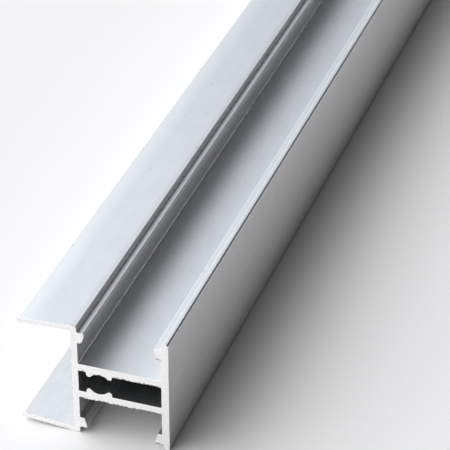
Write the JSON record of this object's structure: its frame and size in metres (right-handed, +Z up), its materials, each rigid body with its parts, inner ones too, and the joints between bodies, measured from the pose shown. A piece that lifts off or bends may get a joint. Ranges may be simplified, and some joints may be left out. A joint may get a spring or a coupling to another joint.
{
  "type": "led strip profile",
  "caption": "Bare extruded aluminium profile for LED strips, with a gripping slot for a board's edge, channels with snap ledges above and below, and a split screw port.",
  "frame": {"origin": "middle of the profile's box at its underside, halfway along its length", "axes": "+X across the profile from the board slot to the front wall, +Y along its length, +Z up through its height"},
  "size_m": [0.0242, 0.5, 0.0198],
  "materials": {
    "satin_aluminium": "satin anodised, saw-cut at the ends"
  },
  "bodies": {
    "root": {"extruded_profile": "satin_aluminium"}
  },
  "joints": []
}
